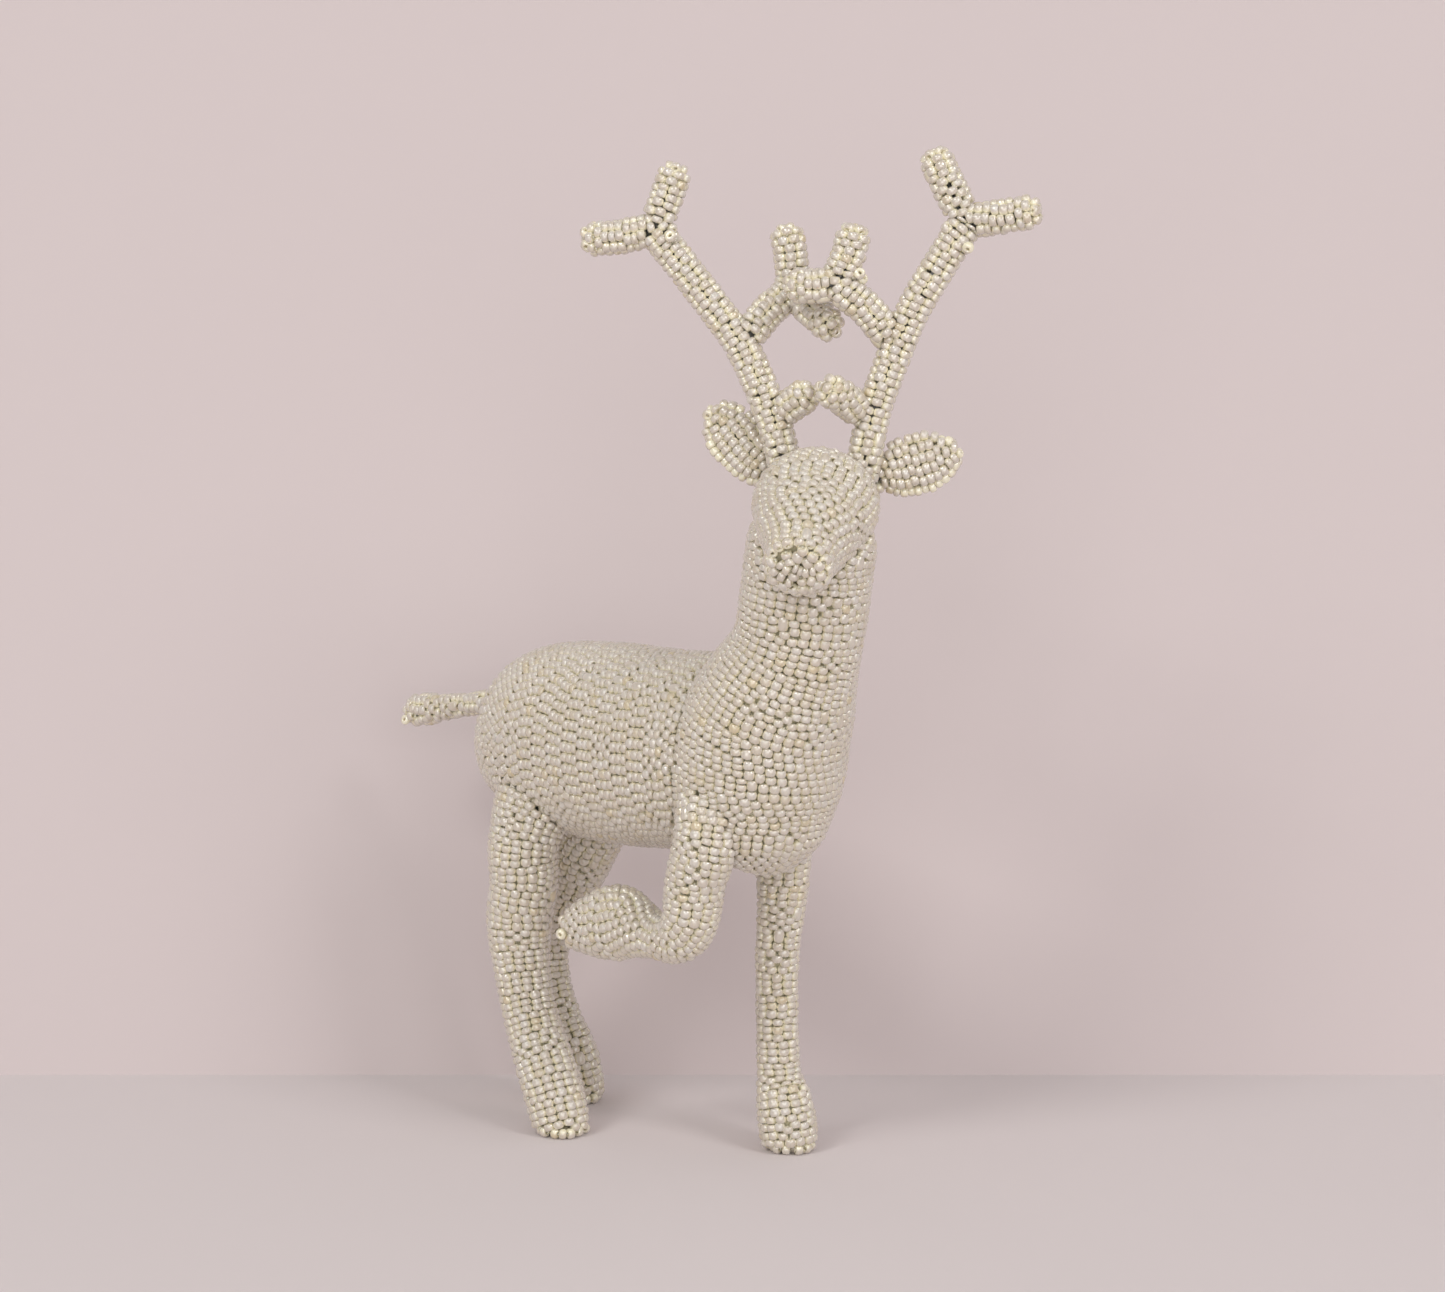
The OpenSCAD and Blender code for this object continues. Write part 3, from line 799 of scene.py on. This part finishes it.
def mix_colours(tree, factor, first, second, blend="MIX"):
    """Two colours, sockets or plain, mixed by a factor."""
    node = tree.nodes.new("ShaderNodeMix")
    node.data_type = "RGBA"
    node.blend_type = blend
    for socket, value in (("Factor", factor), ("A", first), ("B", second)):
        pin = [s for s in node.inputs if s.name == socket and s.enabled][0]
        if isinstance(value, bpy.types.NodeSocket):
            tree.links.new(value, pin)
        elif isinstance(value, tuple):
            pin.default_value = (*value, 1)
        else:
            pin.default_value = value
    return [s for s in node.outputs if s.enabled][0]


def bump(tree, shader, height, strength, distance):
    """Roughens a shader's surface by a height."""
    node = tree.nodes.new("ShaderNodeBump")
    node.inputs["Strength"].default_value = strength
    node.inputs["Distance"].default_value = distance
    tree.links.new(height, node.inputs["Height"])
    tree.links.new(node.outputs["Normal"], shader.inputs["Normal"])


def pearl_glass():
    """Opaque pearl-lustred glass: cream-white, a few beads yellower, with a painted glow that makes
    the bead sides in the gaps lighter and yellower.
    """
    material, tree, shader = new_material("pearl_glass")
    body = ramp(
        tree,
        attribute(tree, "bead_tint"),
        [
            (0.0, (0.65, 0.55, 0.36)),
            (0.05, (0.64, 0.57, 0.46)),
            (0.4, (0.645, 0.58, 0.495)),
            (0.8, (0.655, 0.60, 0.515)),
            (1.0, (0.675, 0.63, 0.565)),
        ],
    )
    # Painted glow: bead sides that turn into the gaps are painted a lighter yellow in place of light
    # shining through the glass and bounced off the wadding, so the gaps look less shaded.
    facing = attribute(tree, "bead_facing")
    outward = ramp(tree, facing, [(0.15, (0, 0, 0)), (0.75, (1, 1, 1))])
    mottle = ramp(tree, noise(tree, 900.0), [(0.3, (0.96, 0.96, 0.94)), (0.7, (1, 1, 1))])
    colour = mix_colours(tree, outward, (0.95, 0.88, 0.66), body)
    colour = mix_colours(tree, 1.0, colour, mottle, "MULTIPLY")
    tree.links.new(colour, shader.inputs["Base Color"])
    shader.inputs["Roughness"].default_value = 0.22
    shader.inputs["Coat Weight"].default_value = 1.0
    shader.inputs["Coat Roughness"].default_value = 0.06
    shader.inputs["Coat IOR"].default_value = 2.4
    shader.inputs["Subsurface Weight"].default_value = 0.5
    shader.inputs["Subsurface Radius"].default_value = (1.0, 0.95, 0.85)
    shader.inputs["Subsurface Scale"].default_value = 0.001
    shader.inputs["Sheen Weight"].default_value = 0.15
    shader.inputs["Sheen Roughness"].default_value = 0.4
    return material


def cotton_wadding():
    """Pale straw-coloured cotton wrapped under the beads."""
    material, tree, shader = new_material("cotton_wadding")
    fibres = noise(tree, 2200.0, 4.0)
    colour = ramp(tree, fibres, [(0.3, (0.86, 0.80, 0.54)), (0.7, (0.94, 0.89, 0.68))])
    tree.links.new(colour, shader.inputs["Base Color"])
    shader.inputs["Roughness"].default_value = 0.95
    bump(tree, shader, fibres, 0.5, 0.0004)
    return material


def steel_wire():
    """Dull grey wire with faint drawn streaks."""
    material, tree, shader = new_material("steel_wire")
    streaks = noise(tree, 1500.0, 3.0)
    colour = ramp(tree, streaks, [(0.3, (0.20, 0.20, 0.20)), (0.7, (0.36, 0.36, 0.37))])
    tree.links.new(colour, shader.inputs["Base Color"])
    shader.inputs["Metallic"].default_value = 0.9
    shader.inputs["Roughness"].default_value = 0.45
    return material


def painted_card(name, dark, light):
    """Smooth studio card with a barely visible unevenness."""
    material, tree, shader = new_material(name)
    colour = ramp(tree, noise(tree, 6.0), [(0.3, dark), (0.7, light)])
    tree.links.new(colour, shader.inputs["Base Color"])
    shader.inputs["Roughness"].default_value = 0.9
    shader.inputs["Specular IOR Level"].default_value = 0.2
    return material


def clear_from_behind(material):
    """Lets the wall be looked through from its back, so the figure can be seen from there."""
    tree = material.node_tree
    output = next(n for n in tree.nodes if n.type == "OUTPUT_MATERIAL")
    shader = next(n for n in tree.nodes if n.type == "BSDF_PRINCIPLED")
    side = tree.nodes.new("ShaderNodeNewGeometry")
    clear = tree.nodes.new("ShaderNodeBsdfTransparent")
    mix = tree.nodes.new("ShaderNodeMixShader")
    tree.links.new(side.outputs["Backfacing"], mix.inputs[0])
    tree.links.new(shader.outputs[0], mix.inputs[1])
    tree.links.new(clear.outputs[0], mix.inputs[2])
    tree.links.new(mix.outputs[0], output.inputs["Surface"])
    return material


# ---- the figure ----


def antler_rows(path):
    """Table rows of a round antler tube along a path."""
    return [[*p, ANTLER_R, ANTLER_R] for p in path]


def back_along(path, distance):
    """A point so far before the end of a path."""
    last = np.array(path[-1], float)
    return last + unit(np.array(path[-2]) - last) * distance


def antler_skins(side, paths):
    """The beam, then the tines that end freely; a crown tine starts inside the beam's end."""
    skins = []
    for part, path in paths.items():
        free = part != "beam"
        begin = TINE_BEGIN if part.endswith("tine") else SKIN_BEGIN
        if part.startswith("crown"):
            path = [back_along(paths["beam"], FORK_LAP), *path]
        name = f"{side}_antler_{part}"
        skins.append(Skin(name, antler_rows(path), ANTLER_UP, False, free, free, begin))
    return skins


def all_skins():
    """Every beaded skin, those that go over their neighbours first."""
    return [
        Skin("head", HEAD_ROWS, UP_Z),
        Skin("chest", CHEST_ROWS, UP_Y, closed_end=False),
        Skin("torso", TORSO_ROWS, UP_Z, closed_end=False),
        Skin("left_fore", LEFT_FORE_ROWS, UP_Y, closed_start=False, closed_end=False),
        Skin("right_fore", RIGHT_FORE_ROWS, UP_X, closed_start=False),
        Skin("right_hind", RIGHT_HIND_ROWS, UP_Y, closed_start=False, closed_end=False),
        Skin("left_hind", LEFT_HIND_ROWS, UP_Y, closed_start=False, closed_end=False),
        Skin("tail", TAIL_ROWS, UP_Z, closed_start=False),
        *antler_skins("right", RIGHT_ANTLER),
        *antler_skins("left", LEFT_ANTLER),
        Skin("right_ear", RIGHT_EAR_ROWS, ANTLER_UP, closed_start=False),
        Skin("left_ear", LEFT_EAR_ROWS, ANTLER_UP, closed_start=False),
    ]


# A table place past the end of every skin.
TO_THE_END = 99.0

# Skin, table place where the piece ends, piece name, CAD node it stands for.
PIECES = [
    ("torso", 3.25, "torso_rump_beads", "torso_beads"),
    ("torso", 4.3, "torso_flank_beads", "torso_beads"),
    ("torso", 5.3, "torso_barrel_beads", "torso_beads"),
    ("torso", TO_THE_END, "torso_shoulder_beads", "torso_beads"),
    ("chest", 3.6, "chest_lower_beads", "chest_beads"),
    ("chest", 6.0, "chest_upper_beads", "chest_beads"),
    ("chest", TO_THE_END, "neck_glass_beads", "neck_beads"),
    ("head", 5.0, "head_glass_beads", "head_beads"),
    ("head", TO_THE_END, "muzzle_glass_beads", "muzzle_beads"),
    ("left_fore", 2.0, "left_foreleg_upper_glass_beads", "left_foreleg_upper_beads"),
    ("left_fore", 3.5, "left_foreleg_shin_glass_beads", "left_foreleg_shin_beads"),
    ("left_fore", TO_THE_END, "left_fore_hoof_glass_beads", "left_fore_hoof_beads"),
    ("right_fore", 3.5, "right_foreleg_upper_glass_beads", "right_foreleg_upper_beads"),
    ("right_fore", 5.5, "right_foreleg_shin_glass_beads", "right_foreleg_shin_beads"),
    ("right_fore", TO_THE_END, "right_fore_hoof_glass_beads", "right_fore_hoof_beads"),
    ("right_hind", 3.0, "right_hindleg_thigh_glass_beads", "right_hindleg_thigh_beads"),
    ("right_hind", 5.5, "right_hindleg_shin_glass_beads", "right_hindleg_shin_beads"),
    ("right_hind", TO_THE_END, "right_hind_hoof_glass_beads", "right_hind_hoof_beads"),
    ("left_hind", 3.0, "left_hindleg_thigh_glass_beads", "left_hindleg_thigh_beads"),
    ("left_hind", 5.5, "left_hindleg_shin_glass_beads", "left_hindleg_shin_beads"),
    ("left_hind", TO_THE_END, "left_hind_hoof_glass_beads", "left_hind_hoof_beads"),
    ("tail", TO_THE_END, "tail_glass_beads", "tail_beads"),
    ("right_ear", TO_THE_END, "right_ear_glass_beads", "right_ear_beads"),
    ("left_ear", TO_THE_END, "left_ear_glass_beads", "left_ear_beads"),
    *[
        (antler, TO_THE_END, f"{antler}_glass_beads", f"{antler}_beads")
        for antler in (f"{side}_antler_{part}" for side in ("right", "left") for part in RIGHT_ANTLER)
    ],
]


def place_piece(name, node, mesh, material):
    """Puts one beaded piece on the figure in place of its CAD sleeve."""
    piece = bpy.data.objects.new(name, mesh)
    bpy.context.scene.collection.objects.link(piece)
    mesh.materials.append(material)
    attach(piece, "root")
    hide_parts(node)


def build_beads():
    """Lays every bead of the figure and makes the pieces."""
    laid = lay_all(all_skins())
    spots = np.array([b[2] for b in laid])
    names = np.array([b[0] for b in laid])
    places = np.array([b[1] for b in laid])
    normals = np.array([b[3] for b in laid])
    axes = np.array([b[4] for b in laid])
    lengths = np.array([b[5] for b in laid])
    material = pearl_glass()
    begins = {}
    for skin, ends, name, node in PIECES:
        begin = begins.get(skin, -1.0)
        mine = (names == skin) & (places > begin) & (places <= ends)
        begins[skin] = ends
        mesh = bead_mesh(name, spots[mine], normals[mine], axes[mine], lengths[mine])
        place_piece(name, node, mesh, material)


def dress_cad_nodes():
    """Gives the padding and the wires their materials."""
    wadding = cotton_wadding()
    wire = steel_wire()
    for name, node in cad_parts.items():
        if name.endswith(("_padding", "_wrap")):
            dress(node, wadding)
        elif name.endswith(("_wire", "_wires")):
            dress(node, wire)


def dress(node, material):
    """Gives one CAD node its only material."""
    node.data.materials.clear()
    node.data.materials.append(material)


# ---- stage ----

# In metres from here on.
CAMERA = Vector((-0.4799, -0.5112, 0.1769))
TARGET = Vector((0.0033, -0.0109, 0.0977))
LENS_MM = 89.4
SENSOR_MM = 36

WALL_DISTANCE = 0.052
WALL_HEIGHT = 2.5
WALL_LEAN = 0.4
STAGE_HALF = 2.5
FLOOR_DEPTH = 5.0

# Where the lights point, above the floor.
LIGHT_AIM = 0.1

# Name, distance to the front, to the right and up from the aim, size, watts, colour.
LIGHTS = [
    ("key", 0.9, -0.75, 1.05, (0.5, 0.5), 6.5, (1, 0.985, 0.96)),
    ("fill", 0.9, 0.85, 0.95, (0.5, 0.5), 6, (1, 0.97, 0.97)),
    ("front", 1.5, 0, 0.15, (1.4, 0.8), 7, (1, 0.985, 0.98)),
]

SKY_COLOUR = (1.0, 0.965, 0.955, 1)
SKY_STRENGTH = 0.42


def plane(name, corners, material):
    """A flat card."""
    mesh = bpy.data.meshes.new(name)
    mesh.from_pydata(corners, [], [tuple(range(len(corners)))])
    mesh.materials.append(material)
    card = bpy.data.objects.new(name, mesh)
    bpy.context.scene.collection.objects.link(card)
    return card


def aim(thing, at):
    """Turns a light or a camera to a point."""
    thing.rotation_euler = (Vector(at) - thing.location).to_track_quat("-Z", "Y").to_euler()


def area_light(name, place, at, size, power, colour):
    """A rectangular soft light that points at a place."""
    data = bpy.data.lights.new(name, "AREA")
    data.shape = "RECTANGLE"
    data.size, data.size_y = size
    data.energy = power
    data.color = colour
    lamp = bpy.data.objects.new(name, data)
    lamp.location = place
    bpy.context.scene.collection.objects.link(lamp)
    aim(lamp, at)


def build_cards(middle, level, right):
    """The pale floor, and the wall square to the camera's heading."""
    foot = middle + level * WALL_DISTANCE
    wide = right * STAGE_HALF
    front = foot - level * FLOOR_DEPTH
    high = Vector((0, 0, WALL_HEIGHT)) + level * WALL_HEIGHT * WALL_LEAN
    floor = plane(
        "floor",
        [front - wide, front + wide, foot + wide, foot - wide],
        painted_card("floor_card", (0.735, 0.68, 0.68), (0.745, 0.69, 0.69)),
    )
    wall = plane(
        "wall",
        [foot - wide, foot + wide, foot + wide + high, foot - wide + high],
        clear_from_behind(painted_card("wall_card", (0.635, 0.56, 0.558), (0.645, 0.57, 0.568))),
    )


def build_lights(middle, level, right):
    """Two high softboxes, a wide one low in front, and an even sky."""
    heart = middle + Vector((0, 0, LIGHT_AIM))
    for name, ahead, sideways, up, size, watts, colour in LIGHTS:
        place = heart - level * ahead + right * sideways + Vector((0, 0, up))
        area_light(name, place, heart, size, watts, colour)
    world = bpy.data.worlds.new("studio")
    world.use_nodes = True
    sky = world.node_tree.nodes["Background"]
    sky.inputs["Color"].default_value = SKY_COLOUR
    sky.inputs["Strength"].default_value = SKY_STRENGTH
    bpy.context.scene.world = world
    bpy.context.scene.view_settings.view_transform = "Standard"


def build_camera():
    """The camera at the three-quarter angle from which the figure is shown."""
    data = bpy.data.cameras.new("camera")
    data.lens = LENS_MM
    data.sensor_width = SENSOR_MM
    data.sensor_fit = "HORIZONTAL"
    data.clip_start = 0.01
    camera = bpy.data.objects.new("camera", data)
    camera.location = CAMERA
    bpy.context.scene.collection.objects.link(camera)
    aim(camera, TARGET)
    bpy.context.scene.camera = camera


def build_stage():
    """Everything round the figure: cards, lights and the camera."""
    level = Vector((TARGET.x - CAMERA.x, TARGET.y - CAMERA.y, 0)).normalized()
    right = Vector((level.y, -level.x, 0))
    middle = Vector((TARGET.x, TARGET.y, 0))
    build_cards(middle, level, right)
    build_lights(middle, level, right)
    build_camera()


build_beads()
dress_cad_nodes()
build_stage()
